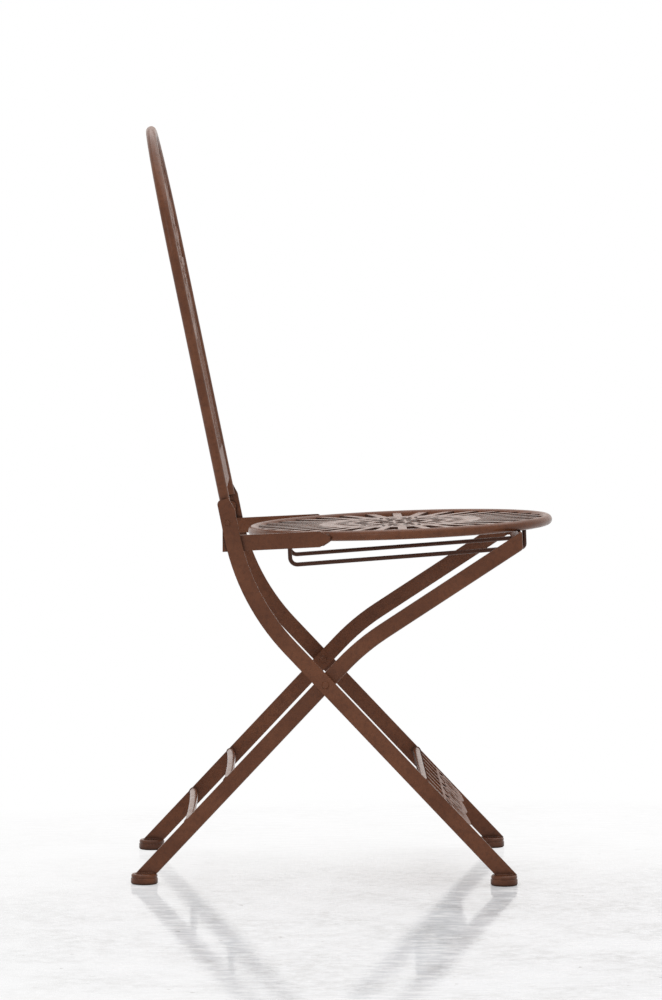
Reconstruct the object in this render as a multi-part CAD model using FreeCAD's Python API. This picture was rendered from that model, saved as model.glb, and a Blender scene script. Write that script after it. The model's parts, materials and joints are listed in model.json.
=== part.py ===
import FreeCAD, Part
import math
import os

# Folding garden chair of painted steel. X runs forward, Y to the sitter's left, Z up, in millimetres.
# The origin lies on the floor, under the middle of the chair's overall length and width.

V = FreeCAD.Vector

# Stock and clearances
BAR_WIDTH = 20.0
BAR_THICK = 4.0
TUBE_DIA = 12.8
STRIP_WIDTH = 11.0
PLATE_THICK = 3.2
WIRE_DIA = 5.4
ROD_DIA = 10.2
WELD_GAP = 0.1
SLIDE_GAP = 0.3
PIVOT_GAP = 0.05

# Layers to each side: the rails stand in from the seat's outside, and the legs stand off the rails
RAIL_INSET = 22.8
WASHER_THICK = 1.0
SPACER_LENGTH = 13.0

# Crossed legs, seen from the side
CROSS_HEIGHT = 252.3
FRONT_LEG_REACH = 226.7
REAR_LEG_REACH = 225.2
FOOT_BEHIND_LEG = 2.5
FOOT_DIA = 34.0
FOOT_HEIGHT = 13.0
FOOT_ROUND = 1.5
FOOT_STEP = 0.5
FOOT_GROOVE_HEIGHT = 8.3
FOOT_GROOVE_DEPTH = 0.8
LEG_BEND_RADIUS = 285.0
REAR_LEG_BEND_PLACE = 65.0
LEG_TOP_FLANGE = 12.0
LEG_TOP_ROUND = 5.0
STRETCHER_PLACES = (("upper", 174.0), ("lower", 246.0))
STRETCHER_BOW = 3.5

# Back
PIVOT_BEHIND_CROSS = 122.2
PIVOT_ABOVE_SEAT = 13.7
BACK_AHEAD_OF_PIVOT = 2.0
BACK_LEAN = 11.67
BACK_LENGTH = 501.5
UPRIGHT_ABOVE_PIVOT = 30.0
UPRIGHT_TOP_ROUND = 6.0
UPRIGHT_TOP_SLANT = (4.5, 15.0)
HOOP_START = 15.0
LOWER_PLATE_START = 37.0
LOWER_PLATE_HEIGHT = 47.0
BACK_PLATE_FORWARD = 1.8
BACK_MEDALLION_DIA = 204.0
BACK_MEDALLION_BORDER = 14.0
BACK_LACE_REPEATS = 16
BACK_RAY_STEP = 15.0
BACK_SLAT_PITCH = 33.0
BACK_SLATS_PER_SIDE = 4

# Seat
SEAT_DIA = 391.6
SEAT_HEIGHT = 442.0
SEAT_TILT = 2.32
SEAT_AHEAD_OF_CROSS = 97.5
SEAT_STRIP_TOP = 4.0
SEAT_MEDALLION_DIA = 208.0
SEAT_MEDALLION_BORDER = 15.0
SEAT_LACE_REPEATS = 16
SEAT_RAYS = 32
RAIL_DROP = 26.3
RAIL_SLOPE = 2.75
RAIL_EAR_RADIUS = 6.5
RAIL_TAPER = 12.6
RAIL_TIP = 5.0
WIRE_SPREAD = 92.0
WIRE_SLOPE = 4.3
WIRE_REAR_INSET = 19.4
WIRE_REAR_BEND = 9.0
WIRE_FRONT_BEND = 5.2

# Panel between the front legs, with distances down the leg from the crossing rivet
PANEL_ROD_PLACE = 174.8
PANEL_FAN_START = 33.0
PANEL_FAN_HEIGHT = 43.0
PANEL_SCALLOP_DEPTH = 8.0
PANEL_FANS = 3
PANEL_STRIPS = 7
PANEL_PLATE_RISE = 2.6
PANEL_SLOT_STEP = 27.0
PANEL_SLOTS_PER_SIDE = 3
PANEL_BORDER = 4.5
PANEL_FAN_MARGIN = 10.0
PANEL_SCALLOP_BORDER = 7.0
PANEL_SLOT_START = 12.3
PANEL_SLOT_FULLNESS = 0.33
PANEL_EYELET_RADIUS = 4.2
PANEL_EYELET_INSET = 11.0
PANEL_EYELET_DEPTH = 30.0
PANEL_MOON_RADIUS = 3.6
PANEL_MOON_DEPTH = 5.6

# Rivets
LEG_RIVET_DIA = 6.0
LEG_RIVET_HEAD_DIA = 10.0
SEAT_RIVET_DIA = 5.0
SEAT_RIVET_HEAD_DIA = 8.0
RIVET_HEAD_HEIGHT = 2.4
RIVET_HEAD_BEVEL = 1.8
SPACER_DIA = 14.0

# Rows of the pierced lace: where each row starts and ends, as shares of the lace's radius, and
# half the width of its openings, as a share of the distance from one repeat to the next
LACE_HUB = 0.075
LACE_PETALS = (0.14, 0.41, 0.69)
LACE_BUDS = (0.26, 0.41, 0.30)
LACE_LEAVES = (0.46, 0.69, 0.36)
LACE_DARTS = (0.74, 0.93, 0.09)
LACE_SCROLLS = (0.73, 0.98)
SCROLL_SWING = (0.06, 0.31)
SCROLL_BULGE = (0.12, -0.05)

# Places that follow from the sizes
SEAT_RING_RADIUS = (SEAT_DIA - TUBE_DIA) / 2
TUBE_RADIUS = TUBE_DIA / 2
RAIL_INSIDE = SEAT_DIA / 2 - RAIL_INSET
FRONT_LEG_INSIDE = RAIL_INSIDE + BAR_THICK + WASHER_THICK
REAR_LEG_INSIDE = FRONT_LEG_INSIDE - SPACER_LENGTH - BAR_THICK
LEAN = math.radians(BACK_LEAN)
TILT = math.radians(SEAT_TILT)
SEAT_FRONT = SEAT_AHEAD_OF_CROSS + SEAT_RING_RADIUS * math.cos(TILT) + TUBE_RADIUS
CROSS_X = (REAR_LEG_REACH + FOOT_BEHIND_LEG + FOOT_DIA / 2 - SEAT_FRONT) / 2
CROSS = V(CROSS_X, 0, CROSS_HEIGHT)
PIVOT = V(CROSS_X - PIVOT_BEHIND_CROSS, 0, SEAT_HEIGHT + PIVOT_ABOVE_SEAT)
FRONT_LEG_END = V(CROSS_X + FRONT_LEG_REACH, 0, FOOT_HEIGHT)
REAR_LEG_END = V(CROSS_X - REAR_LEG_REACH, 0, FOOT_HEIGHT)
SEAT_CENTRE = V(CROSS_X + SEAT_AHEAD_OF_CROSS, 0, SEAT_HEIGHT)
BACK_UP = V(-math.sin(LEAN), 0, math.cos(LEAN))
BACK_FRONT = V(math.cos(LEAN), 0, math.sin(LEAN))
BACK_FOOT = PIVOT + BACK_FRONT * BACK_AHEAD_OF_PIVOT
HOOP_RADIUS = FRONT_LEG_INSIDE - WELD_GAP - TUBE_RADIUS
HOOP_INSIDE = HOOP_RADIUS - TUBE_RADIUS - WELD_GAP
ARCH_CENTRE = BACK_LENGTH - HOOP_RADIUS
SEAT_STRIP_BOTTOM = SEAT_STRIP_TOP - PLATE_THICK
SEAT_PLACE = FreeCAD.Placement(SEAT_CENTRE, FreeCAD.Rotation(V(0, 1, 0), -SEAT_TILT))
BACK_PLACE = FreeCAD.Placement(BACK_FOOT, FreeCAD.Rotation(V(0, 1, 0), BACK_UP, BACK_FRONT, "XYZ"))

# The slide bar, in the seat's own frame: it hangs between the guide wires and the seat ring
WIRE_FRONT_RADIUS = SEAT_RING_RADIUS - TUBE_RADIUS - WELD_GAP - WIRE_DIA / 2
WIRE_FRONT_X = math.sqrt(WIRE_FRONT_RADIUS ** 2 - WIRE_SPREAD ** 2)
WIRE_REAR_REACH = math.sqrt((SEAT_RING_RADIUS - WIRE_REAR_INSET) ** 2 - WIRE_SPREAD ** 2)
SLIDE_BAR_X = WIRE_FRONT_X - WIRE_FRONT_BEND - SLIDE_GAP - BAR_THICK / 2
SLIDE_BAR_Z = -TUBE_RADIUS - SLIDE_GAP - BAR_WIDTH / 2
WIRE_RISE = math.tan(math.radians(WIRE_SLOPE - SEAT_TILT))
WIRE_Z_AT_BAR = SLIDE_BAR_Z - BAR_WIDTH / 2 - SLIDE_GAP - WIRE_DIA / 2
SLIDE_BAR_HALF = REAR_LEG_INSIDE - LEG_TOP_FLANGE - SLIDE_GAP
SLIDE_BAR_REST = SEAT_PLACE.multVec(V(SLIDE_BAR_X, 0, SLIDE_BAR_Z))

FAR = 2 * (SEAT_HEIGHT + BACK_LENGTH)


def polar(radius, degrees):
    angle = math.radians(degrees)
    return V(radius * math.cos(angle), radius * math.sin(angle), 0)


def polygon(points):
    return Part.makePolygon(points + [points[0]])


def box(low, high):
    size = high - low
    return Part.makeBox(size.x, size.y, size.z, low)


def rod(start, end, diameter):
    axis = end - start
    return Part.makeCylinder(diameter / 2, axis.Length, start, axis)


def swept_round(edges, diameter):
    """A round bar of the given diameter along a smooth chain of edges."""
    path = Part.Wire(edges)
    start = edges[0].firstVertex().Point
    tangent = edges[0].tangentAt(edges[0].FirstParameter)
    ring = Part.Wire(Part.Circle(start, tangent, diameter / 2).toShape())
    return path.makePipeShell([ring], True, True)


def both_sides(right):
    """The right-hand piece and its mirror image, as one group of two solids."""
    return Part.makeCompound([right, mirrored(right)])


def mirrored(shape):
    return shape.mirror(V(0, 0, 0), V(0, 1, 0))


def meeting_point(point_a, direction_a, point_b, direction_b):
    """Where two lines of the side view meet."""
    across = V(-direction_b.z, 0, direction_b.x)
    step = (point_b - point_a).dot(across) / direction_a.dot(across)
    return point_a + direction_a * step


def bent_bar(start, corner, end, inside):
    """A flat bar on edge with one round bend, on the right-hand side, from the given layer outwards."""
    first = (corner - start).normalize()
    second = (end - corner).normalize()
    turn = first.getAngle(second)
    tangent = LEG_BEND_RADIUS * math.tan(turn / 2)
    bend_start = corner - first * tangent
    bend_end = corner + second * tangent
    left_a = V(-first.z, 0, first.x)
    left_b = V(-second.z, 0, second.x)
    side = 1 if left_a.dot(second) > 0 else -1
    middle = bend_start + left_a * side * LEG_BEND_RADIUS
    outward = (corner - middle).normalize()

    def edge_line(offset):
        apex = middle + outward * (LEG_BEND_RADIUS - side * offset)
        return [
            Part.makeLine(start + left_a * offset, bend_start + left_a * offset),
            Part.Arc(bend_start + left_a * offset, apex, bend_end + left_b * offset).toShape(),
            Part.makeLine(bend_end + left_b * offset, end + left_b * offset),
        ]

    half = BAR_WIDTH / 2
    caps = [Part.makeLine(p + n * half, p - n * half) for p, n in ((start, left_a), (end, left_b))]
    outline = Part.Wire(Part.__sortEdges__(edge_line(half) + edge_line(-half) + caps))
    face = Part.Face(outline)
    face.translate(V(0, -inside, 0))
    return face.extrude(V(0, -BAR_THICK, 0))


def cut_on_foot(bar):
    floor_block = box(V(-FAR, -FAR, -FAR), V(FAR, FAR, FOOT_HEIGHT))
    return bar.cut(floor_block)


def rounded_at(shape, places, radius):
    """Rounds the edges whose middles lie at the given places."""
    picked = []
    for place in places:
        picked.append(min(shape.Edges, key=lambda e: (e.CenterOfMass - place).Length))
    return shape.makeFillet(radius, picked)


def pivot_hole(centre, diameter):
    reach = V(0, FAR, 0)
    return rod(centre - reach, centre + reach, diameter + 2 * PIVOT_GAP)


def front_leg():
    """Right front leg, which goes on as the upright beside the back."""
    down = (FRONT_LEG_END - CROSS).normalize()
    top = BACK_FOOT + BACK_UP * UPRIGHT_ABOVE_PIVOT
    corner = meeting_point(CROSS, down, top, BACK_UP)
    bar = bent_bar(FRONT_LEG_END + down * BAR_WIDTH, corner, top, FRONT_LEG_INSIDE)
    bar = cut_on_foot(bar)
    layer = V(0, -FRONT_LEG_INSIDE - BAR_THICK / 2, 0)
    half = BACK_FRONT * (BAR_WIDTH / 2)
    bar = rounded_at(bar, [top - half + layer], UPRIGHT_TOP_ROUND)
    bar = bar.cut(upright_slant(top + half))
    bar = bar.cut(pivot_hole(CROSS, LEG_RIVET_DIA))
    return bar.cut(pivot_hole(PIVOT, SEAT_RIVET_DIA))


def upright_slant(corner):
    """What is sliced off the front corner of a right-hand upright's top."""
    across, along = UPRIGHT_TOP_SLANT
    face = Part.Face(polygon([corner, corner - BACK_FRONT * across, corner - BACK_UP * along]))
    face.translate(V(0, -FRONT_LEG_INSIDE, 0))
    return face.extrude(V(0, -BAR_THICK, 0))


def seat_box(low, high):
    """A block squared to the seat."""
    block = box(low, high)
    block.Placement = SEAT_PLACE
    return block


def rear_leg():
    """Right rear leg: its top is bent inwards, in line with the slide bar."""
    down = (REAR_LEG_END - CROSS).normalize()
    corner = CROSS - down * REAR_LEG_BEND_PLACE
    upward = (SLIDE_BAR_REST - corner).normalize()
    past_top = SLIDE_BAR_REST + upward * BAR_WIDTH
    bar = bent_bar(REAR_LEG_END + down * BAR_WIDTH, corner, past_top, REAR_LEG_INSIDE)
    bar = cut_on_foot(bar)
    front = SLIDE_BAR_X + BAR_THICK / 2
    top = SLIDE_BAR_Z + BAR_WIDTH / 2
    bar = bar.cut(seat_box(V(front, -FAR, -FAR), V(FAR, FAR, FAR)))
    bar = bar.cut(seat_box(V(-FAR, -FAR, top), V(FAR, FAR, FAR)))
    layer = V(0, -REAR_LEG_INSIDE - BAR_THICK / 2, 0)
    under_edge = SLIDE_BAR_REST + V(upward.z, 0, -upward.x) * (BAR_WIDTH / 2)
    front_face = SEAT_PLACE.multVec(V(front, 0, 0))
    lower_corner = meeting_point(under_edge, upward, front_face, SEAT_PLACE.Rotation.multVec(V(0, 0, 1)))
    bar = rounded_at(bar, [lower_corner + layer], LEG_TOP_ROUND)
    ends = bar.common(seat_box(V(front - BAR_THICK, -FAR, -FAR), V(front, FAR, FAR)))
    face = max(ends.Faces, key=lambda f: f.CenterOfMass.y)
    flange = face.extrude(V(0, LEG_TOP_FLANGE, 0))
    bar = bar.fuse(flange).removeSplitter()
    outer_bend = SEAT_PLACE.multVec(V(front, -REAR_LEG_INSIDE - BAR_THICK, SLIDE_BAR_Z))
    bar = rounded_at(bar, [outer_bend], BAR_THICK - WELD_GAP)
    return bar.cut(pivot_hole(CROSS, LEG_RIVET_DIA))


def foot(leg_end, side_y):
    """Round pad with a groove, above which it is a little narrower."""
    lower = FOOT_DIA / 2
    upper = lower - FOOT_STEP
    outline = [
        V(0, 0, 0),
        V(lower - FOOT_ROUND, 0, 0),
        V(lower, 0, FOOT_ROUND),
        V(lower, 0, FOOT_GROOVE_HEIGHT - FOOT_GROOVE_DEPTH),
        V(upper - FOOT_GROOVE_DEPTH, 0, FOOT_GROOVE_HEIGHT),
        V(upper, 0, FOOT_GROOVE_HEIGHT + FOOT_GROOVE_DEPTH),
        V(upper, 0, FOOT_HEIGHT - FOOT_ROUND),
        V(upper - FOOT_ROUND, 0, FOOT_HEIGHT),
        V(0, 0, FOOT_HEIGHT),
    ]
    pad = Part.Face(polygon(outline)).revolve(V(0, 0, 0), V(0, 0, 1), 360)
    pad.translate(V(leg_end.x - FOOT_BEHIND_LEG, side_y, 0))
    return pad


def stretcher(distance):
    """Bowed round bar between the rear legs, flush with their upper edges."""
    down = (REAR_LEG_END - CROSS).normalize()
    upper_side = V(down.z, 0, -down.x)
    centre = CROSS + down * distance + upper_side * ((BAR_WIDTH - ROD_DIA) / 2)
    reach = V(0, REAR_LEG_INSIDE, 0)
    bow = Part.Arc(centre - reach, centre - down * STRETCHER_BOW, centre + reach).toShape()
    bar = swept_round([bow], ROD_DIA)
    return bar.common(box(V(-FAR, -REAR_LEG_INSIDE, -FAR), V(FAR, REAR_LEG_INSIDE, FAR)))


def hoop():
    """Tube that frames the back: two straight sides and a half-round top."""
    foot_right = V(-HOOP_RADIUS, HOOP_START, 0)
    foot_left = V(HOOP_RADIUS, HOOP_START, 0)
    spring_right = V(-HOOP_RADIUS, ARCH_CENTRE, 0)
    spring_left = V(HOOP_RADIUS, ARCH_CENTRE, 0)
    crown = V(0, BACK_LENGTH, 0)
    edges = [
        Part.makeLine(foot_right, spring_right),
        Part.Arc(spring_right, crown, spring_left).toShape(),
        Part.makeLine(spring_left, foot_left),
    ]
    return on_back(swept_round(edges, TUBE_DIA))


def on_back(shape):
    shape.Placement = BACK_PLACE.multiply(shape.Placement)
    return shape


def on_seat(shape):
    shape.Placement = SEAT_PLACE.multiply(shape.Placement)
    return shape


def leaf(start, end, left, right):
    """Opening between two points, bounded by arcs that stand left and right off its chord."""
    along = end - start
    across = V(-along.y, along.x, 0).normalize()
    middle = (start + end) * 0.5
    return Part.Wire([
        Part.Arc(start, middle + across * left, end).toShape(),
        Part.Arc(end, middle + across * right, start).toShape(),
    ])


def circle(centre, radius):
    return Part.Wire(Part.Circle(centre, V(0, 0, 1), radius).toShape())


def pierced_plate(outline, openings):
    face = Part.makeFace([outline] + openings, "Part::FaceMakerBullseye")
    return face.extrude(V(0, 0, PLATE_THICK))


def radial_leaf(row, radius, degrees, pitch):
    start, end, width = row
    half = width * math.radians(pitch) * radius * (start + end) / 2
    return leaf(polar(start * radius, degrees), polar(end * radius, degrees), half, -half)


def scroll_pair(radius, degrees, pitch):
    """Two curved leaves that open outwards, left and right of a radius."""
    start, end = (share * radius for share in LACE_SCROLLS)
    spread = math.radians(pitch) * (start + end) / 2
    pair = []
    for side in (-1, 1):
        base = polar(start, degrees + side * SCROLL_SWING[0] * pitch)
        tip = polar(end, degrees + side * SCROLL_SWING[1] * pitch)
        outer, inner = (side * bulge * spread for bulge in SCROLL_BULGE)
        pair.append(leaf(base, tip, outer, inner))
    return pair


def lace_openings(radius, repeats):
    """Rosette of petals and buds, a row of leaves, and mirrored scrolls with darts between them."""
    pitch = 360.0 / repeats
    openings = [circle(V(0, 0, 0), LACE_HUB * radius)]
    for k in range(repeats):
        middle = k * pitch
        between = middle + pitch / 2
        inner_row = LACE_BUDS if k % 2 else LACE_PETALS
        openings.append(radial_leaf(inner_row, radius, middle, pitch))
        openings.append(radial_leaf(LACE_LEAVES, radius, between, pitch))
        openings.append(radial_leaf(LACE_DARTS, radius, between, pitch))
        openings += scroll_pair(radius, middle, pitch)
    return openings


def medallion(diameter, border, repeats):
    lace_radius = diameter / 2 - border
    return pierced_plate(circle(V(0, 0, 0), diameter / 2), lace_openings(lace_radius, repeats))


def strip(start, end):
    """Flat strip of the plate's thickness between two points of a plate's plane."""
    along = (end - start).normalize()
    half = V(-along.y, along.x, 0) * (STRIP_WIDTH / 2)
    face = Part.Face(polygon([start - half, end - half, end + half, start + half]))
    return face.extrude(V(0, 0, PLATE_THICK))


def on_back_plate(shape):
    """Sets a plate of the back a little ahead of the middle of the hoop's tube."""
    shape.translate(V(0, 0, BACK_PLATE_FORWARD - PLATE_THICK / 2))
    return on_back(shape)


def back_medallion():
    plate = medallion(BACK_MEDALLION_DIA, BACK_MEDALLION_BORDER, BACK_LACE_REPEATS)
    plate.rotate(V(0, 0, 0), V(0, 0, 1), 90)
    plate.translate(V(0, ARCH_CENTRE, 0))
    return on_back_plate(plate)


def back_rays():
    """Half sunburst from the medallion to the arch."""
    middle = V(0, ARCH_CENTRE, 0)
    inner = BACK_MEDALLION_DIA / 2 + WELD_GAP
    outer = math.sqrt(HOOP_INSIDE ** 2 - (STRIP_WIDTH / 2) ** 2)
    rays = []
    for k in range(round(180 / BACK_RAY_STEP) + 1):
        angle = k * BACK_RAY_STEP
        rays.append(strip(middle + polar(inner, angle), middle + polar(outer, angle)))
    return on_back_plate(Part.makeCompound(rays))


def back_slats():
    """Upright slats from the lower plate to the medallion, or to the level rays beside it."""
    bottom = LOWER_PLATE_START + LOWER_PLATE_HEIGHT + WELD_GAP
    radius = BACK_MEDALLION_DIA / 2
    slats = []
    for k in range(-BACK_SLATS_PER_SIDE, BACK_SLATS_PER_SIDE + 1):
        place = k * BACK_SLAT_PITCH
        near_edge = max(abs(place) - STRIP_WIDTH / 2, 0)
        under_ray = STRIP_WIDTH / 2
        under_rim = math.sqrt(max(radius ** 2 - near_edge ** 2, 0))
        top = ARCH_CENTRE - max(under_ray, under_rim) - WELD_GAP
        slats.append(strip(V(place, bottom, 0), V(place, top, 0)))
    return on_back_plate(Part.makeCompound(slats))


def back_lower_plate():
    low = V(-HOOP_INSIDE, LOWER_PLATE_START, 0)
    high = V(HOOP_INSIDE, LOWER_PLATE_START + LOWER_PLATE_HEIGHT, PLATE_THICK)
    return on_back_plate(box(low, high))


def on_front_legs(shape):
    """Places a panel piece, drawn up the leg from the crossing rivet, with its rod at the legs' upper edges."""
    up = (CROSS - FRONT_LEG_END).normalize()
    normal = V(0, 1, 0).cross(up)
    height = (BAR_WIDTH - ROD_DIA) / 2
    turn = FreeCAD.Rotation(V(0, 1, 0), up, normal, "XYZ")
    shape.Placement = FreeCAD.Placement(CROSS + normal * height, turn).multiply(shape.Placement)
    return shape


def on_panel(shape):
    """Sets a plate of the panel a little above the middle of its rod."""
    shape.translate(V(0, 0, PANEL_PLATE_RISE - PLATE_THICK / 2))
    return on_front_legs(shape)


def panel_crossbar():
    reach = FRONT_LEG_INSIDE - WELD_GAP
    return on_front_legs(rod(V(-reach, -PANEL_ROD_PLACE, 0), V(reach, -PANEL_ROD_PLACE, 0), ROD_DIA))


def panel_struts():
    """Strips from the panel's rod to its fans."""
    underside = PANEL_PLATE_RISE - PLATE_THICK / 2
    rod_side = math.sqrt((ROD_DIA / 2) ** 2 - underside ** 2)
    start = PANEL_ROD_PLACE + rod_side + WELD_GAP
    end = PANEL_ROD_PLACE + PANEL_FAN_START - WELD_GAP
    pitch = 2 * FRONT_LEG_INSIDE / PANEL_STRIPS
    struts = []
    for k in range(PANEL_STRIPS):
        place = (k - (PANEL_STRIPS - 1) / 2) * pitch
        struts.append(strip(V(place, -start, 0), V(place, -end, 0)))
    return on_panel(Part.makeCompound(struts))


def panel_fans():
    """Pierced panel: a row of shell fans with a scalloped lower edge."""
    top = PANEL_ROD_PLACE + PANEL_FAN_START
    bottom = top + PANEL_FAN_HEIGHT
    reach = FRONT_LEG_INSIDE - WELD_GAP
    bay = 2 * reach / PANEL_FANS
    edges = [
        Part.makeLine(V(reach, -bottom, 0), V(reach, -top, 0)),
        Part.makeLine(V(reach, -top, 0), V(-reach, -top, 0)),
        Part.makeLine(V(-reach, -top, 0), V(-reach, -bottom, 0)),
    ]
    openings = []
    for k in range(PANEL_FANS):
        left = -reach + k * bay
        lowest = V(left + bay / 2, -bottom - PANEL_SCALLOP_DEPTH, 0)
        edges.append(Part.Arc(V(left, -bottom, 0), lowest, V(left + bay, -bottom, 0)).toShape())
        openings += fan_openings(V(left + bay / 2, -top - PANEL_BORDER, 0), bay)
        if k > 0:
            dart_top = V(left, -top - PANEL_BORDER, 0)
            dart_end = V(left, -bottom + PANEL_BORDER, 0)
            openings.append(leaf(dart_top, dart_end, PANEL_BORDER, -PANEL_BORDER))
    return on_panel(pierced_plate(Part.Wire(edges), openings))


def fan_openings(focus, bay):
    """Slots that spread from a moon at the top of a fan towards its scalloped edge, with an eyelet at each corner."""
    half_width = bay / 2 - PANEL_FAN_MARGIN
    depth = PANEL_FAN_HEIGHT + PANEL_SCALLOP_DEPTH - PANEL_BORDER - PANEL_SCALLOP_BORDER
    openings = [circle(focus - V(0, PANEL_MOON_DEPTH, 0), PANEL_MOON_RADIUS)]
    for side in (-1, 1):
        corner = V(side * (bay / 2 - PANEL_EYELET_INSET), -PANEL_EYELET_DEPTH, 0)
        openings.append(circle(focus + corner, PANEL_EYELET_RADIUS))
    for k in range(-PANEL_SLOTS_PER_SIDE, PANEL_SLOTS_PER_SIDE + 1):
        swing = math.radians(k * PANEL_SLOT_STEP)
        ray = V(math.sin(swing), -math.cos(swing), 0)
        reach = 1 / math.hypot(ray.x / half_width, ray.y / depth)
        spacing = math.radians(PANEL_SLOT_STEP) * (PANEL_SLOT_START + reach) / 2
        bulge = PANEL_SLOT_FULLNESS * spacing
        openings.append(leaf(focus + ray * PANEL_SLOT_START, focus + ray * reach, bulge, -bulge))
    return openings


def rivet(centre, diameter, head_diameter, inside, outside):
    """Right-hand rivet with a bevelled head on each side of the bars it holds."""
    shank = rod(centre - V(0, inside, 0), centre - V(0, outside, 0), diameter)
    parts = [shank]
    for face, way in ((inside, -1), (outside, 1)):
        seat_face = centre - V(0, face, 0)
        wide = head_diameter / 2
        crown = wide - RIVET_HEAD_BEVEL
        parts.append(Part.makeCone(wide, crown, RIVET_HEAD_HEIGHT, seat_face, V(0, -way, 0)))
    return parts[0].fuse(parts[1:]).removeSplitter()


def ring_between(centre, inner_diameter, outer_diameter, inside, outside):
    """Right-hand washer or spacer between two layers."""
    outer = rod(centre - V(0, inside, 0), centre - V(0, outside, 0), outer_diameter)
    return outer.cut(pivot_hole(centre, inner_diameter))


def leg_rivet():
    outside = FRONT_LEG_INSIDE + BAR_THICK
    return rivet(CROSS, LEG_RIVET_DIA, LEG_RIVET_HEAD_DIA, REAR_LEG_INSIDE - WELD_GAP, outside)


def leg_spacer():
    inside = REAR_LEG_INSIDE + BAR_THICK + WELD_GAP
    return ring_between(CROSS, LEG_RIVET_DIA, SPACER_DIA, inside, FRONT_LEG_INSIDE)


def seat_rivet():
    outside = FRONT_LEG_INSIDE + BAR_THICK
    return rivet(PIVOT, SEAT_RIVET_DIA, SEAT_RIVET_HEAD_DIA, RAIL_INSIDE - WELD_GAP, outside)


def seat_washer():
    inside = RAIL_INSIDE + BAR_THICK + WELD_GAP
    return ring_between(PIVOT, SEAT_RIVET_DIA, 2 * RAIL_EAR_RADIUS, inside, FRONT_LEG_INSIDE)


def seat_ring():
    return on_seat(Part.makeTorus(SEAT_RING_RADIUS, TUBE_RADIUS))


def seat_medallion():
    plate = medallion(SEAT_MEDALLION_DIA, SEAT_MEDALLION_BORDER, SEAT_LACE_REPEATS)
    plate.translate(V(0, 0, SEAT_STRIP_BOTTOM))
    return on_seat(plate)


def seat_rays():
    """Strips from the medallion to the ring, with outer ends sloped to the tube's curve."""
    inner = SEAT_MEDALLION_DIA / 2 + WELD_GAP

    def tube_side(height):
        inside = SEAT_RING_RADIUS - math.sqrt(TUBE_RADIUS ** 2 - height ** 2)
        return math.sqrt((inside - WELD_GAP) ** 2 - (STRIP_WIDTH / 2) ** 2)

    side = -STRIP_WIDTH / 2
    heights = (SEAT_STRIP_BOTTOM, (SEAT_STRIP_BOTTOM + SEAT_STRIP_TOP) / 2, SEAT_STRIP_TOP)
    outer_end = [V(tube_side(height), side, height) for height in heights]
    inner_end = [V(inner, side, SEAT_STRIP_TOP), V(inner, side, SEAT_STRIP_BOTTOM)]
    profile = polygon(outer_end + inner_end)
    ray = Part.Face(profile).extrude(V(0, STRIP_WIDTH, 0))
    rays = []
    for k in range(SEAT_RAYS):
        turned = ray.copy()
        turned.rotate(V(0, 0, 0), V(0, 0, 1), k * 360.0 / SEAT_RAYS)
        rays.append(turned)
    return on_seat(Part.makeCompound(rays))


def seat_rail():
    """Right seat rail: a flat bar from the ring's side back to the ear on the seat pivot."""
    slope = math.radians(RAIL_SLOPE)
    along = V(math.cos(slope), 0, math.sin(slope))
    half = V(0, 0, BAR_WIDTH / 2 / math.cos(slope))
    under_pivot = PIVOT - V(0, 0, RAIL_DROP)
    ring_reach = SEAT_RING_RADIUS + TUBE_RADIUS
    ring_touch = math.sqrt(ring_reach ** 2 - (RAIL_INSIDE - WELD_GAP) ** 2)
    front_x = SEAT_CENTRE.x - ring_touch * math.cos(TILT)

    def on_rail(x):
        return under_pivot + along * ((x - PIVOT.x) / along.x)

    ear = V(RAIL_EAR_RADIUS, 0, 0)
    rear = on_rail(PIVOT.x - RAIL_EAR_RADIUS)
    front = on_rail(front_x)
    taper_start = on_rail(front_x - RAIL_TAPER)
    tip = V(0, 0, RAIL_TIP / 2)
    points = [
        PIVOT - ear,
        rear - half,
        taper_start - half,
        front - tip,
        front + tip,
        taper_start + half,
        on_rail(PIVOT.x + RAIL_EAR_RADIUS) + half,
        PIVOT + ear,
    ]
    edges = [Part.makeLine(a, b) for a, b in zip(points, points[1:])]
    edges.append(Part.Arc(PIVOT + ear, PIVOT + V(0, 0, RAIL_EAR_RADIUS), PIVOT - ear).toShape())
    face = Part.Face(Part.Wire(edges))
    face.translate(V(0, -RAIL_INSIDE, 0))
    rail = face.extrude(V(0, -BAR_THICK, 0))
    return rail.cut(pivot_hole(PIVOT, SEAT_RIVET_DIA))


def bent_path(points, radii):
    """Straight runs through the points, with an arc of its own radius at each inner point."""
    edges = []
    start = points[0]
    for before, point, after, radius in zip(points, points[1:], points[2:], radii):
        arriving = (point - before).normalize()
        leaving = (after - point).normalize()
        tangent = radius * math.tan(arriving.getAngle(leaving) / 2)
        inward = (leaving - arriving).normalize()
        to_middle = math.hypot(radius, tangent)
        arc_start = point - arriving * tangent
        arc_end = point + leaving * tangent
        edges.append(Part.makeLine(start, arc_start))
        edges.append(Part.Arc(arc_start, point + inward * (to_middle - radius), arc_end).toShape())
        start = arc_end
    edges.append(Part.makeLine(start, points[-1]))
    return edges


def wire_height(x):
    """Height of a guide wire's middle line in the seat's frame."""
    return WIRE_Z_AT_BAR + (x - SLIDE_BAR_X) * WIRE_RISE


def guide_wire():
    """Right guide wire: hangs from a ray at the rear and from the ring at the front."""
    rear_x = -WIRE_REAR_REACH
    ray_underside = SEAT_STRIP_BOTTOM - WELD_GAP
    points = [
        V(rear_x, -WIRE_SPREAD, ray_underside),
        V(rear_x, -WIRE_SPREAD, wire_height(rear_x)),
        V(WIRE_FRONT_X, -WIRE_SPREAD, wire_height(WIRE_FRONT_X)),
        V(WIRE_FRONT_X, -WIRE_SPREAD, 0),
    ]
    path = bent_path(points, (WIRE_REAR_BEND, WIRE_FRONT_BEND))
    return on_seat(swept_round(path, WIRE_DIA))


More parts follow.
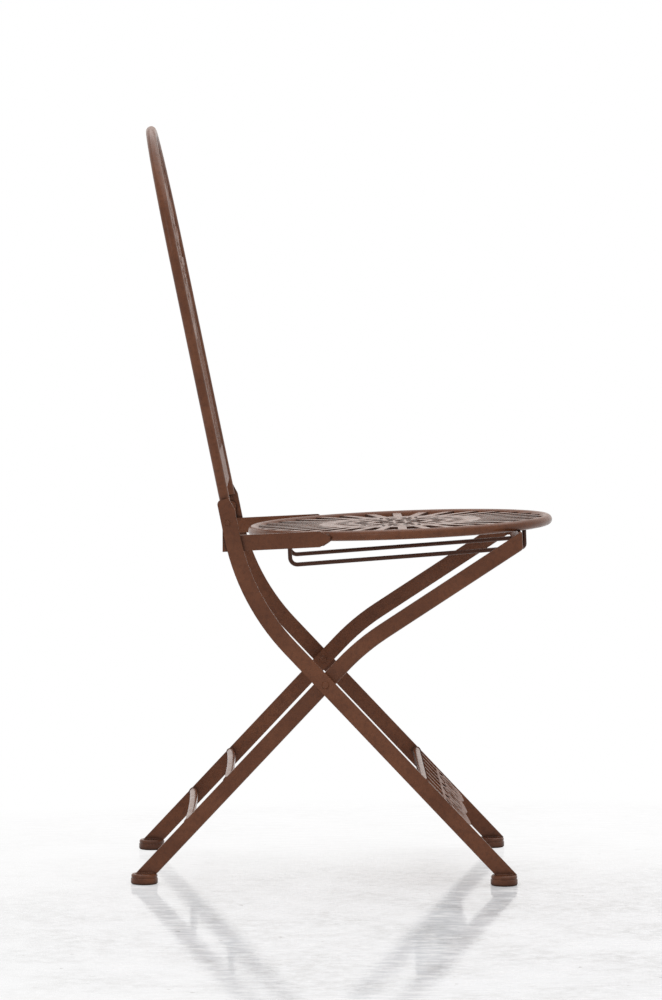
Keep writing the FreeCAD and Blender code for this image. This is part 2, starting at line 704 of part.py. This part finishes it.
def slide_bar():
    """Bar that joins the rear legs' tops and slides between the guide wires and the seat."""
    half = V(BAR_THICK / 2, SLIDE_BAR_HALF, BAR_WIDTH / 2)
    middle = V(SLIDE_BAR_X, 0, SLIDE_BAR_Z)
    return on_seat(box(middle - half, middle + half))


def feet(leg_end, inside):
    side_y = inside + BAR_THICK / 2
    return Part.makeCompound([foot(leg_end, -side_y), foot(leg_end, side_y)])


def build_nodes():
    nodes = {
        "back_hoop": hoop(),
        "back_medallion": back_medallion(),
        "back_rays": back_rays(),
        "back_slats": back_slats(),
        "back_lower_plate": back_lower_plate(),
        "leg_panel_crossbar": panel_crossbar(),
        "leg_panel_struts": panel_struts(),
        "leg_panel_fans": panel_fans(),
        "front_feet": feet(FRONT_LEG_END, FRONT_LEG_INSIDE),
        "rear_feet": feet(REAR_LEG_END, REAR_LEG_INSIDE),
        "leg_rivets": both_sides(leg_rivet()),
        "leg_spacers": both_sides(leg_spacer()),
        "seat_rivets": both_sides(seat_rivet()),
        "seat_washers": both_sides(seat_washer()),
        "seat_ring": seat_ring(),
        "seat_medallion": seat_medallion(),
        "seat_rays": seat_rays(),
        "slide_bar": slide_bar(),
    }
    for name, distance in STRETCHER_PLACES:
        nodes["rear_stretcher_" + name] = stretcher(distance)
    pairs = {
        "front_leg": front_leg(),
        "rear_leg": rear_leg(),
        "seat_rail": seat_rail(),
        "guide_wire": guide_wire(),
    }
    for name, right in pairs.items():
        nodes[name + "_right"] = right
        nodes[name + "_left"] = mirrored(right)
    return nodes


def main():
    os.makedirs("parts", exist_ok=True)
    for name, shape in build_nodes().items():
        shape.exportStep("parts/" + name + ".step")


main()
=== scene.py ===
import json
import math
import bmesh
import bpy
from mathutils import Euler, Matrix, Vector, noise


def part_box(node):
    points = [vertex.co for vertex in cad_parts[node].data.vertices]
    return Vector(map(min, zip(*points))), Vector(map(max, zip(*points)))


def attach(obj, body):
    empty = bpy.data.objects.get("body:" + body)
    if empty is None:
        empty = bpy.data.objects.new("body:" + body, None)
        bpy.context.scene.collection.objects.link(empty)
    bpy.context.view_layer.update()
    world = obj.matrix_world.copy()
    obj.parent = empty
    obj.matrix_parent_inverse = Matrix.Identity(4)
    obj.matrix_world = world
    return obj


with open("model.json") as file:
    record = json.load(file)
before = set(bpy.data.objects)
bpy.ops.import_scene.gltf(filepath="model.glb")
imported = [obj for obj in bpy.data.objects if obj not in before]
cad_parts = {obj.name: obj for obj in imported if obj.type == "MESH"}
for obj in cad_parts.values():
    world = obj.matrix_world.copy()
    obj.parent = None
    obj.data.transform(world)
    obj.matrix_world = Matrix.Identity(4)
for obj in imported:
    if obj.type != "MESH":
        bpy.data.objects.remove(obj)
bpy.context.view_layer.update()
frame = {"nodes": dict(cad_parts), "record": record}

# Camera, in metres and degrees: a long lens, almost square to the chair's right side
CAMERA_PLACE = (-0.0725, -5.9246, 0.8232)
CAMERA_PITCH_DOWN = 3.376
CAMERA_YAW_RIGHT = 0.550
CAMERA_LENS_MM = 165.92
CAMERA_FAR_LIMIT = 100
SENSOR_LONG_SIDE_MM = 36.0

# Colours, as seen on a screen from 0 to 255
BROWN = (100, 59, 38)
BROWN_LIGHT = (114, 70, 47)
BROWN_DARK = (74, 43, 29)
# The shade brown is painted shade: deep in gaps, on upright faces and along the bars' edges.
SHADE_BROWN = (46, 27, 19)
FOOT_BROWN = (86, 51, 35)
RUBBED = (150, 113, 92)
FLOOR_PALE = (253, 252, 252)
FLOOR_GREY = (220, 219, 218)
FLOOR_SCRATCH = (170, 168, 166)

# Paint: roughness, gloss and a share of painted shade, then depths and reaches in metres
SATIN_ROUGHNESS = (0.20, 0.32)
GAP_SHADE_ROUGHNESS = 0.9
PAINT_SPECULAR = 0.22
STRETCHER_SPECULAR = 0.5
SEAT_DULLING = -0.03
UPRIGHT_DULLING = 0.18
UPRIGHT_FACE_SHADE = 0.85
GRAIN_DEPTH = 0.00006
PIT_DEPTH = 0.00008
EDGE_REACH = 0.0016
GAP_SHADE_REACH = 0.012
SHEET_TONING = {"edge_reach": 0.0010, "gap_shade_reach": 0.030, "gap_shade": 1.0}

# What counts as an edge, an upright face and a gap: the values where the edge tone and the painted shade
# begin and where they are full
EDGE_TURN = (0.98, 0.80)
CUT_FACE_STEEPNESS = (0.6, 0.2)
GAP_OPENNESS = (0.90, 0.35)

# Light from all sides: its strength on things, and its colour where paint and floor mirror it
WORLD_FILL = 0.55
REFLECTED_TINT = (1.0, 0.94, 0.90)

# Floor, in metres: it fades to white with the distance from a patch's centre, and is polished at low angles
FLOOR_HALF_SIZE = 12.0
FLOOR_PATCH_CENTRE = (0.14, -0.60, 0)
FLOOR_FADE = (0.22, 0.90)
FLOOR_FADE_SHARE = 0.78
FLOOR_END = (0.88, 1.35)
FLOOR_ROUGHNESS = 0.6
FLOOR_SPECULAR = 0.1
FLOOR_POLISH = 0.85
FLOOR_POLISH_ANGLES = (0.66, 0.86)
FLOOR_POLISH_WORN = 0.30
FLOOR_POLISH_ROUGHNESS = 0.055
FLOOR_POLISH_TINT = (0.925, 0.965, 1.0)
FLOOR_RIPPLE_DEPTH = 0.0001
FLOOR_STREAK_TURNS = (-12, 7, 84)

# How far the sharp edges of each stock are rounded, in metres; round stock has none
EDGE_ROUND = {
    "bar": 0.0006,
    "sheet": 0.00015,
    "rivet": 0.0003,
    "foot": 0.0005,
}
EDGE_SEGMENTS = 2
SHARP_OVER_DEG = 35
FLAT_WITHIN_DEG = 0.5
MERGE_WITHIN = 0.000002

STRETCHERS = ("rear_stretcher_upper", "rear_stretcher_lower")
GUIDE_WIRES = ("guide_wire_right", "guide_wire_left")
ROUND_STOCK = ("back_hoop", "seat_ring", "leg_panel_crossbar", *STRETCHERS, *GUIDE_WIRES)
UPRIGHT_SHEET = (
    "back_medallion", "back_rays", "back_slats", "back_lower_plate", "leg_panel_struts", "leg_panel_fans",
)

# What the weld beads follow of the chair, in degrees and metres
BACK_LEAN = 11.67
SEAT_TILT = 2.32
TUBE_DIA = 0.0128
PLATE_THICK = 0.0032
STRIP_WIDTH = 0.011
SEAT_RAYS = 32
BACK_RAY_STEP = 15

# Weld beads, in metres: radii, then form
FOOT_BEAD = 0.0017
ROD_BEAD = 0.0011
HOOP_BEAD = 0.0012
TACK_BEAD = 0.0011
RAIL_BEAD = 0.0016
WIRE_BEAD = 0.0009
BEAD_STEP = 0.0006
BEAD_SIDES = 8
BEAD_RIPPLE = 0.0022
BEAD_RIPPLE_SHARE = 0.14
BEAD_LUMP_SHARE = 0.30
BEAD_LUMPS_PER_METRE = 260
BEAD_END_SHARE = 0.35
BEAD_TAPER_STEPS = 3

# Where the beads lie on their pieces, in metres
SAME_FACE = 0.0001
FOOT_BEAD_REACH = 0.0130
ROD_END_BAND = 0.0005
ROD_BEAD_INSET = 0.0004
HOOP_BEAD_FROM_LINE = 0.0030
HOOP_BEAD_BELOW_TOP = 0.006
TACK_DROP = 0.0003
TACK_MARGIN = 0.001
RAIL_TIP_BAND = 0.0140
RAIL_END_BAND = 0.0002
RAIL_BEAD_ENDS = (0.2, 0.4)
WIRE_REAR_BAND = 0.006
WIRE_END_BAND = 0.0004
WIRE_BEAD_DROP = 0.0005

FORWARD = Vector((1, 0, 0))
LEFTWARD = Vector((0, 1, 0))
UPWARD = Vector((0, 0, 1))


def linear(colour):
    """A screen colour from 0 to 255 as linear light, with full opacity."""
    parts = []
    for channel in colour:
        share = channel / 255
        parts.append(share / 12.92 if share <= 0.04045 else ((share + 0.055) / 1.055) ** 2.4)
    return (*parts, 1.0)


class Nodes:
    """Short ways to add and join the nodes of one material."""

    def __init__(self, name):
        self.material = bpy.data.materials.new(name)
        self.material.use_nodes = True
        self.tree = self.material.node_tree
        self.shader = self.tree.nodes["Principled BSDF"]
        self.places = self.add("ShaderNodeTexCoord").outputs["Object"]

    def add(self, kind, **settings):
        """A new node of some kind, with its settings."""
        node = self.tree.nodes.new(kind)
        for name, value in settings.items():
            setattr(node, name, value)
        return node

    def link(self, source, target):
        self.tree.links.new(source, target)

    def noise(self, scale, detail=3.0, roughness=0.55, stretch=(1, 1, 1), turn=0):
        """Noise whose scale counts repeats per metre, turned about the upright axis by some degrees."""
        mapping = self.add("ShaderNodeMapping")
        mapping.inputs["Scale"].default_value = stretch
        mapping.inputs["Rotation"].default_value = (0, 0, math.radians(turn))
        self.link(self.places, mapping.inputs["Vector"])
        node = self.add("ShaderNodeTexNoise")
        node.inputs["Scale"].default_value = scale
        node.inputs["Detail"].default_value = detail
        node.inputs["Roughness"].default_value = roughness
        self.link(mapping.outputs["Vector"], node.inputs["Vector"])
        return node.outputs["Fac"]

    def spread(self, source, low, high, to_low=0.0, to_high=1.0):
        """Takes a value smoothly from one range to another, and holds it at the ends."""
        node = self.add("ShaderNodeMapRange", interpolation_type="SMOOTHSTEP")
        self.link(source, node.inputs["Value"])
        node.inputs["From Min"].default_value = low
        node.inputs["From Max"].default_value = high
        node.inputs["To Min"].default_value = to_low
        node.inputs["To Max"].default_value = to_high
        return node.outputs["Result"]

    def combine(self, operation, a, b):
        """Two values joined by the given operation."""
        node = self.add("ShaderNodeMath", operation=operation)
        self.link(a, node.inputs[0])
        self.link(b, node.inputs[1])
        return node.outputs["Value"]

    def blend(self, share, first, second):
        """A colour between two, which are colours or the outputs of other nodes."""
        node = self.add("ShaderNodeMix", data_type="RGBA")
        self.link(share, node.inputs["Factor"])
        for socket, value in ((node.inputs["A"], first), (node.inputs["B"], second)):
            if isinstance(value, tuple):
                socket.default_value = value
            else:
                self.link(value, socket)
        return node.outputs["Result"]

    def bump(self, height, distance, before=None):
        """A normal that follows a height, on top of the normal before it."""
        node = self.add("ShaderNodeBump")
        node.inputs["Distance"].default_value = distance
        self.link(height, node.inputs["Height"])
        if before:
            self.link(before, node.inputs["Normal"])
        return node.outputs["Normal"]

    def edges(self, reach):
        """From nought on a flat face to one on an edge, over the given distance."""
        rounded = self.add("ShaderNodeBevel", samples=6)
        rounded.inputs["Radius"].default_value = reach
        flat = self.add("ShaderNodeNewGeometry").outputs["Normal"]
        dot = self.add("ShaderNodeVectorMath", operation="DOT_PRODUCT")
        self.link(rounded.outputs["Normal"], dot.inputs[0])
        self.link(flat, dot.inputs[1])
        return self.spread(dot.outputs["Value"], *EDGE_TURN)

    def upright_faces(self):
        """From nought on faces that look up or down in the piece's own frame to one on upright faces: where
        the painted shade on upright faces goes.
        """
        split = self.add("ShaderNodeSeparateXYZ")
        self.link(self.add("ShaderNodeTexCoord").outputs["Normal"], split.inputs["Vector"])
        steep = self.combine("MULTIPLY", split.outputs["Z"], split.outputs["Z"])
        return self.spread(steep, *CUT_FACE_STEEPNESS)

    def gap_shade_mask(self, reach):
        """From nought on an open face to one deep in a gap, looking as far as the given distance: where
        painted shade goes.
        """
        shade = self.add("ShaderNodeAmbientOcclusion", samples=8)
        shade.inputs["Distance"].default_value = reach
        return self.spread(shade.outputs["AO"], *GAP_OPENNESS)


def painted_steel(name, base=BROWN, light=BROWN_LIGHT, edge_tone=RUBBED, edge_reach=EDGE_REACH, edge_wear_and_shade=0.5,
                  gap_shade_reach=GAP_SHADE_REACH, gap_shade=0.85, dulling=0.0, upright_face_shade=0.0, specular=PAINT_SPECULAR):
    """Satin brown paint with clouds of tone, fine mottling, painted shade that is dark and matt in the gaps
    and, where asked, on upright faces, and edges toned in patches: paler as rubbed wear by default, darker as
    painted shade where the edge tone is the shade brown.
    """
    n = Nodes(name)
    clouds = n.spread(n.noise(14), 0.36, 0.66)
    mottle = n.spread(n.noise(170, detail=4, roughness=0.6), 0.42, 0.70, to_high=0.40)
    colour = n.blend(clouds, linear(base), linear(light))
    colour = n.blend(mottle, colour, linear(BROWN_DARK))
    # Painted shade: dark and matt deep in gaps, and where asked on upright faces
    painted_shade = n.spread(n.gap_shade_mask(gap_shade_reach), 0, 1, to_high=gap_shade)
    if upright_face_shade:
        painted_shade = n.combine("MAXIMUM", painted_shade, n.spread(n.upright_faces(), 0, 1, to_high=upright_face_shade))
    colour = n.blend(painted_shade, colour, linear(SHADE_BROWN))
    patches = n.spread(n.noise(60), 0.40, 0.62, to_high=edge_wear_and_shade)
    toned_edges = n.combine("MULTIPLY", n.edges(edge_reach), patches)
    colour = n.blend(toned_edges, colour, linear(edge_tone))
    n.link(colour, n.shader.inputs["Base Color"])
    satin = n.spread(n.noise(90), 0.3, 0.7, *(roughness + dulling for roughness in SATIN_ROUGHNESS))
    matt = (GAP_SHADE_ROUGHNESS, GAP_SHADE_ROUGHNESS, GAP_SHADE_ROUGHNESS, 1.0)
    n.link(n.blend(painted_shade, satin, matt), n.shader.inputs["Roughness"])
    n.shader.inputs["Specular IOR Level"].default_value = specular
    grain = n.bump(n.noise(900, detail=2), GRAIN_DEPTH)
    pits = n.spread(n.noise(420, detail=2), 0.62, 0.74)
    n.link(n.bump(pits, -PIT_DEPTH, grain), n.shader.inputs["Normal"])
    return n.material


def seen_directly(tree):
    """One for what is seen, mirrored or seen through glass, nought for light that falls on things."""
    path = tree.nodes.new("ShaderNodeLightPath")
    seen = path.outputs["Is Camera Ray"]
    for name in ("Is Glossy Ray", "Is Transmission Ray"):
        either = tree.nodes.new("ShaderNodeMath")
        either.operation = "MAXIMUM"
        tree.links.new(seen, either.inputs[0])
        tree.links.new(path.outputs[name], either.inputs[1])
        seen = either.outputs["Value"]
    return seen


def floor_colour(n):
    """White with pale grey clouds, streaks in three directions, and specks."""
    broad = n.spread(n.noise(7, detail=4), 0.30, 0.66)
    fine = n.spread(n.noise(48, detail=8, roughness=0.78), 0.36, 0.64)
    colour = n.blend(n.combine("MULTIPLY", broad, fine), linear(FLOOR_PALE), linear(FLOOR_GREY))
    for turn in FLOOR_STREAK_TURNS:
        streaks = n.noise(9, detail=7, roughness=0.80, stretch=(1, 14, 1), turn=turn)
        colour = n.blend(n.spread(streaks, 0.62, 0.66, to_high=0.6), colour, linear(FLOOR_SCRATCH))
    specks = n.spread(n.noise(42, detail=2), 0.72, 0.75, to_high=0.9)
    return n.blend(specks, colour, linear(FLOOR_SCRATCH))


def polish_floor(n):
    """A worn, slightly rippled polish that shows at low angles."""
    low_angle = n.spread(
        n.add("ShaderNodeLayerWeight").outputs["Facing"], *FLOOR_POLISH_ANGLES, to_high=FLOOR_POLISH)
    worn = n.noise(22, detail=7, roughness=0.72, stretch=(1, 3, 1))
    polish = n.combine("MULTIPLY", low_angle, n.spread(worn, 0.36, 0.58, to_low=FLOOR_POLISH_WORN))
    n.link(polish, n.shader.inputs["Coat Weight"])
    n.shader.inputs["Coat Roughness"].default_value = FLOOR_POLISH_ROUGHNESS
    n.shader.inputs["Coat Tint"].default_value = (*FLOOR_POLISH_TINT, 1)
    n.link(n.bump(n.noise(110, roughness=0.6), FLOOR_RIPPLE_DEPTH), n.shader.inputs["Coat Normal"])


def pale_floor():
    """White polished floor, clouded and scratched in pale grey, that fades to plain white round its patch."""
    n = Nodes("pale_floor")
    n.link(floor_colour(n), n.shader.inputs["Base Color"])
    n.shader.inputs["Roughness"].default_value = FLOOR_ROUGHNESS
    n.shader.inputs["Specular IOR Level"].default_value = FLOOR_SPECULAR
    polish_floor(n)
    reach = n.add("ShaderNodeVectorMath", operation="DISTANCE")
    reach.inputs[1].default_value = FLOOR_PATCH_CENTRE
    n.link(n.places, reach.inputs[0])
    faded = n.spread(reach.outputs["Value"], *FLOOR_FADE, to_high=FLOOR_FADE_SHARE)
    away = n.combine("MAXIMUM", faded, n.spread(reach.outputs["Value"], *FLOOR_END))
    white = n.add("ShaderNodeEmission")
    mixed = n.add("ShaderNodeMixShader")
    n.link(n.combine("MULTIPLY", away, seen_directly(n.tree)), mixed.inputs["Fac"])
    n.link(n.shader.outputs["BSDF"], mixed.inputs[1])
    n.link(white.outputs["Emission"], mixed.inputs[2])
    n.link(mixed.outputs["Shader"], n.tree.nodes["Material Output"].inputs["Surface"])
    return n.material


def add_floor():
    """A wide flat floor at height nought, which is not part of the chair."""
    size = FLOOR_HALF_SIZE
    mesh = bpy.data.meshes.new("floor")
    floor_corners = [(-size, -size, 0), (size, -size, 0), (size, size, 0), (-size, size, 0)]
    mesh.from_pydata(floor_corners, [], [(0, 1, 2, 3)])
    floor = bpy.data.objects.new("floor", mesh)
    bpy.context.scene.collection.objects.link(floor)
    mesh.materials.append(pale_floor())


def add_world():
    """White to the camera, a warm white in reflections, and a plain fill light otherwise."""
    world = bpy.data.worlds.new("studio")
    bpy.context.scene.world = world
    world.use_nodes = True
    tree = world.node_tree
    background = tree.nodes["Background"]
    tint = tree.nodes.new("ShaderNodeMix")
    tint.data_type = "RGBA"
    tint.inputs["A"].default_value = (1, 1, 1, 1)
    tint.inputs["B"].default_value = (*REFLECTED_TINT, 1)
    tree.links.new(tree.nodes.new("ShaderNodeLightPath").outputs["Is Glossy Ray"], tint.inputs["Factor"])
    tree.links.new(tint.outputs["Result"], background.inputs["Color"])
    strength = tree.nodes.new("ShaderNodeMapRange")
    strength.inputs["To Min"].default_value = WORLD_FILL
    strength.inputs["To Max"].default_value = 1.0
    tree.links.new(seen_directly(tree), strength.inputs["Value"])
    tree.links.new(strength.outputs["Result"], background.inputs["Strength"])


def add_softbox(name, place, aim, size, watts):
    """A square lamp at a place, turned to a point."""
    light = bpy.data.lights.new(name, "AREA")
    light.shape = "SQUARE"
    light.size = size
    light.energy = watts
    lamp = bpy.data.objects.new(name, light)
    lamp.location = place
    lamp.rotation_euler = (Vector(aim) - Vector(place)).to_track_quat("-Z", "Y").to_euler()
    bpy.context.scene.collection.objects.link(lamp)


def add_camera():
    """The camera that looks along +Y, turned a little down and to the right."""
    data = bpy.data.cameras.new("camera")
    data.lens = CAMERA_LENS_MM
    data.sensor_width = SENSOR_LONG_SIDE_MM
    data.clip_end = CAMERA_FAR_LIMIT
    camera = bpy.data.objects.new("camera", data)
    camera.location = CAMERA_PLACE
    camera.rotation_euler = Euler((
        math.radians(90 - CAMERA_PITCH_DOWN), 0, -math.radians(CAMERA_YAW_RIGHT)))
    bpy.context.scene.collection.objects.link(camera)
    bpy.context.scene.camera = camera


def stock_of(node):
    """The stock that a piece is made of, which is the first word of its material slot."""
    row = next(row for row in frame["record"]["subparts"] if row["node"] == node)
    return row["material_slot"].split("_")[0]


def finish_node(node, material):
    """Gives a CAD piece its paint and rounds its sharp edges."""
    obj = frame["nodes"][node]
    obj.data.materials.clear()
    obj.data.materials.append(material)
    if node in ROUND_STOCK:
        return
    weld = obj.modifiers.new("weld", "WELD")
    weld.merge_threshold = MERGE_WITHIN
    flat = obj.modifiers.new("flat_faces", "DECIMATE")
    flat.decimate_type = "DISSOLVE"
    flat.angle_limit = math.radians(FLAT_WITHIN_DEG)
    bevel = obj.modifiers.new("edges", "BEVEL")
    bevel.width = EDGE_ROUND[stock_of(node)]
    bevel.segments = EDGE_SEGMENTS
    bevel.limit_method = "ANGLE"
    bevel.angle_limit = math.radians(SHARP_OVER_DEG)
    bevel.use_clamp_overlap = True
    shading = obj.modifiers.new("shading", "WEIGHTED_NORMAL")
    shading.keep_sharp = False


def corners(node):
    """The corners of a CAD piece's mesh."""
    return [v.co.copy() for v in frame["nodes"][node].data.vertices]


def middle(points):
    """The mean of some points."""
    return sum(points, Vector()) / len(points)


def line(start, end):
    """Points from one place to another."""
    count = max(2, round((end - start).length / BEAD_STEP))
    return [start.lerp(end, k / count) for k in range(count + 1)]


def ring(centre, across, up, radius):
    """Points round a circle, with the first one again at the end."""
    count = round(2 * math.pi * radius / BEAD_STEP)
    angles = [2 * math.pi * k / count for k in range(count + 1)]
    return [centre + (across * math.cos(a) + up * math.sin(a)) * radius for a in angles]


def lay_bead(mesh, points, radius):
    """Adds a rippled, slightly uneven weld bead along the points, with tapered ends."""
    rows = []
    last = len(points) - 1
    closed = (points[0] - points[-1]).length < radius / 10
    turns = [2 * math.pi * s / BEAD_SIDES for s in range(BEAD_SIDES)]
    travelled = 0.0
    for k, point in enumerate(points):
        before = points[max(k - 1, 0)]
        after = points[min(k + 1, last)]
        along = (after - before).normalized()
        if k == 0:
            side = along.orthogonal().normalized()
        else:
            side = (side - along * side.dot(along)).normalized()
        other = along.cross(side)
        travelled += (point - before).length
        wave = abs(math.sin(math.pi * travelled / BEAD_RIPPLE))
        ripple = 1 - BEAD_RIPPLE_SHARE + BEAD_RIPPLE_SHARE * wave
        uneven = 1 + BEAD_LUMP_SHARE * noise.noise(point * BEAD_LUMPS_PER_METRE)
        to_end = min(k, last - k) / BEAD_TAPER_STEPS
        taper = 1.0 if closed else min(1.0, BEAD_END_SHARE + (1 - BEAD_END_SHARE) * to_end)
        size = radius * ripple * uneven * taper
        row = [point + (side * math.cos(t) + other * math.sin(t)) * size for t in turns]
        rows.append([mesh.verts.new(place) for place in row])
    for row, following in zip(rows, rows[1:]):
        for s in range(BEAD_SIDES):
            turn = (s + 1) % BEAD_SIDES
            mesh.faces.new((row[s], row[turn], following[turn], following[s]))
    mesh.faces.new(rows[0][::-1])
    mesh.faces.new(rows[-1])


def add_beads(name, body, beads, material):
    """One piece with all the weld beads of a body; each bead is its points and its radius."""
    mesh = bmesh.new()
    for points, radius in beads:
        lay_bead(mesh, points, radius)
    for face in mesh.faces:
        face.smooth = True
    data = bpy.data.meshes.new(name)
    mesh.to_mesh(data)
    mesh.free()
    data.materials.append(material)
    piece = bpy.data.objects.new(name, data)
    bpy.context.scene.collection.objects.link(piece)
    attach(piece, body)


def foot_beads(leg, feet):
    """Beads along both sides of a leg where it stands on its pad."""
    points = corners(leg)
    floor = min(p.z for p in points)
    footprint = [p for p in points if p.z < floor + SAME_FACE]
    low_y, high_y = (pick(p.y for p in footprint) for pick in (min, max))
    pad_low, pad_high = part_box(feet)
    pad_x = (pad_low.x + pad_high.x) / 2
    start = max(min(p.x for p in footprint), pad_x - FOOT_BEAD_REACH)
    end = min(max(p.x for p in footprint), pad_x + FOOT_BEAD_REACH)
    return [(line(Vector((start, y, floor)), Vector((end, y, floor))), FOOT_BEAD) for y in (low_y, high_y)]


def rod_end_beads(node):
    """A bead round each end of a crosswise rod."""
    points = corners(node)
    beads = []
    for pick, inward in ((min, 1), (max, -1)):
        end_y = pick(p.y for p in points)
        rim = [p for p in points if abs(p.y - end_y) < ROD_END_BAND]
        low_z, high_z = min(p.z for p in rim), max(p.z for p in rim)
        middle_x = (min(p.x for p in rim) + max(p.x for p in rim)) / 2
        centre = Vector((middle_x, end_y + inward * ROD_BEAD_INSET, (low_z + high_z) / 2))
        beads.append((ring(centre, FORWARD, UPWARD, (high_z - low_z) / 2), ROD_BEAD))
    return beads


def back_directions():
    """Up along the leaning back, and out of its front."""
    lean = math.radians(BACK_LEAN)
    return Vector((-math.sin(lean), 0, math.cos(lean))), Vector((math.cos(lean), 0, math.sin(lean)))


def hoop_foot_beads():
    """Beads in front of and behind the line where the hoop's tube lies on each upright."""
    up, front = back_directions()
    beads = []
    for side, leg in ((-1, "front_leg_right"), (1, "front_leg_left")):
        tube = [p for p in corners("back_hoop") if p.y * side > 0]
        lowest = min(p.dot(up) for p in tube)
        end = middle([p for p in tube if p.dot(up) < lowest + SAME_FACE])
        top = max(p.dot(up) for p in corners(leg))
        contact = end + LEFTWARD * (side * TUBE_DIA / 2)
        run = up * (top - lowest - HOOP_BEAD_BELOW_TOP)
        for way in (-1, 1):
            start = contact + front * way * HOOP_BEAD_FROM_LINE
            beads.append((line(start, start + run), HOOP_BEAD))
    return beads


def strip_tacks(centre, across, up, under, radius, angles):
    """Beads under the outer ends of strips that run out from a centre to a tube."""
    tacks = []
    for angle in angles:
        outward = across * math.cos(angle) + up * math.sin(angle)
        along = under.cross(outward)
        place = centre + outward * radius + under * TACK_DROP
        half = along * (STRIP_WIDTH / 2 - TACK_MARGIN)
        tacks.append((line(place - half, place + half), TACK_BEAD))
    return tacks


def back_tacks():
    """Beads behind the outer ends of the back's rays."""
    up, front = back_directions()
    low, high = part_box("back_medallion")
    hoop_low, hoop_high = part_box("back_hoop")
    inside = (hoop_high.y - hoop_low.y) / 2 - TUBE_DIA
    face = (low + high) / 2 - front * PLATE_THICK / 2
    angles = [math.radians(a) for a in range(0, 181, BACK_RAY_STEP)]
    return strip_tacks(face, LEFTWARD, up, -front, inside, angles)


def seat_tacks():
    """Beads under the outer ends of the seat's strips."""
    tilt = math.radians(SEAT_TILT)
    forward = Vector((math.cos(tilt), 0, math.sin(tilt)))
    downward = Vector((math.sin(tilt), 0, -math.cos(tilt)))
    low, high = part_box("seat_medallion")
    ring_low, ring_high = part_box("seat_ring")
    inside = (ring_high.y - ring_low.y) / 2 - TUBE_DIA
    face = (low + high) / 2 + downward * PLATE_THICK / 2
    angles = [2 * math.pi * k / SEAT_RAYS for k in range(SEAT_RAYS)]
    return strip_tacks(face, forward, LEFTWARD, downward, inside, angles)


def rail_beads(rail):
    """A ragged bead round the tapered tip of a seat rail, where it lies on the ring."""
    points = corners(rail)
    inside = min(abs(p.y) for p in points)
    tip_x = max(p.x for p in points)
    tip = [p for p in points if p.x > tip_x - RAIL_TIP_BAND and abs(abs(p.y) - inside) < SAME_FACE]
    tip.sort(key=lambda p: p.z)
    lower, upper = tip[0], tip[-1]
    ends = sorted((p for p in tip if p.x > tip_x - RAIL_END_BAND), key=lambda p: p.z)
    from_lower, to_upper = RAIL_BEAD_ENDS
    path = line(lower.lerp(ends[0], from_lower), ends[0]) + line(ends[0], ends[-1])[1:]
    path += line(ends[-1], ends[-1].lerp(upper, to_upper))[1:]
    return [(path, RAIL_BEAD)]


def wire_beads(wire):
    """A bead round the rear end of a guide wire, under the strip that it hangs from."""
    points = corners(wire)
    rear_x = min(p.x for p in points)
    rear = [p for p in points if p.x < rear_x + WIRE_REAR_BAND]
    highest = max(p.z for p in rear)
    end = [p for p in rear if p.z > highest - WIRE_END_BAND]
    centre = middle(end) - UPWARD * WIRE_BEAD_DROP
    radius = max((p - centre).length for p in end)
    return [(ring(centre, FORWARD, LEFTWARD, radius), WIRE_BEAD)]


def add_welds(material):
    """The weld beads of each welded frame, as one piece on its body."""
    front = hoop_foot_beads() + back_tacks() + rod_end_beads("leg_panel_crossbar")
    rear = [bead for stretcher in STRETCHERS for bead in rod_end_beads(stretcher)]
    seat = seat_tacks()
    for side in ("right", "left"):
        front += foot_beads("front_leg_" + side, "front_feet")
        rear += foot_beads("rear_leg_" + side, "rear_feet")
        seat += rail_beads("seat_rail_" + side) + wire_beads("guide_wire_" + side)
    add_beads("welds_back_and_front_legs", "back_and_front_legs", front, material)
    add_beads("welds_rear_legs", "rear_legs", rear, material)
    add_beads("welds_seat", "seat", seat, material)


paints = {
    # The bars' edges are toned dark in patches: painted shade along their edges
    "bar": painted_steel("bar_paint", edge_tone=SHADE_BROWN, edge_wear_and_shade=0.6),
    # The sheet's upright faces, the walls between its strips, get painted shade
    "sheet": painted_steel("sheet_paint", upright_face_shade=UPRIGHT_FACE_SHADE, dulling=SEAT_DULLING, **SHEET_TONING),
    "rivet": painted_steel("rivet_paint", edge_wear_and_shade=0.7),
    "foot": painted_steel("foot_paint", base=FOOT_BROWN),
}
upright_sheet_paint = painted_steel("upright_sheet_paint", dulling=UPRIGHT_DULLING, **SHEET_TONING)
stretcher_paint = painted_steel("stretcher_paint", specular=STRETCHER_SPECULAR)
# The guide wires are painted darker: painted shade, as they hang in the seat's shadow
shaded_wire_paint = painted_steel("shaded_wire_paint", base=BROWN_DARK, light=BROWN_DARK)
for node_name in frame["nodes"]:
    if node_name in UPRIGHT_SHEET:
        finish_node(node_name, upright_sheet_paint)
    elif node_name in STRETCHERS:
        finish_node(node_name, stretcher_paint)
    elif node_name in GUIDE_WIRES:
        finish_node(node_name, shaded_wire_paint)
    else:
        finish_node(node_name, paints[stock_of(node_name)])

add_welds(painted_steel("weld_paint", base=BROWN_DARK, edge_wear_and_shade=0.2))
add_floor()
add_world()
add_softbox("overhead", place=(0.2, 0.7, 3.1), aim=(0, 0.2, 0.45), size=4.0, watts=70)
add_softbox("front_fill", place=(-1.6, -3.5, 2.2), aim=(0, 0, 0.45), size=2.0, watts=16)
add_camera()
bpy.context.scene.view_settings.view_transform = "Standard"
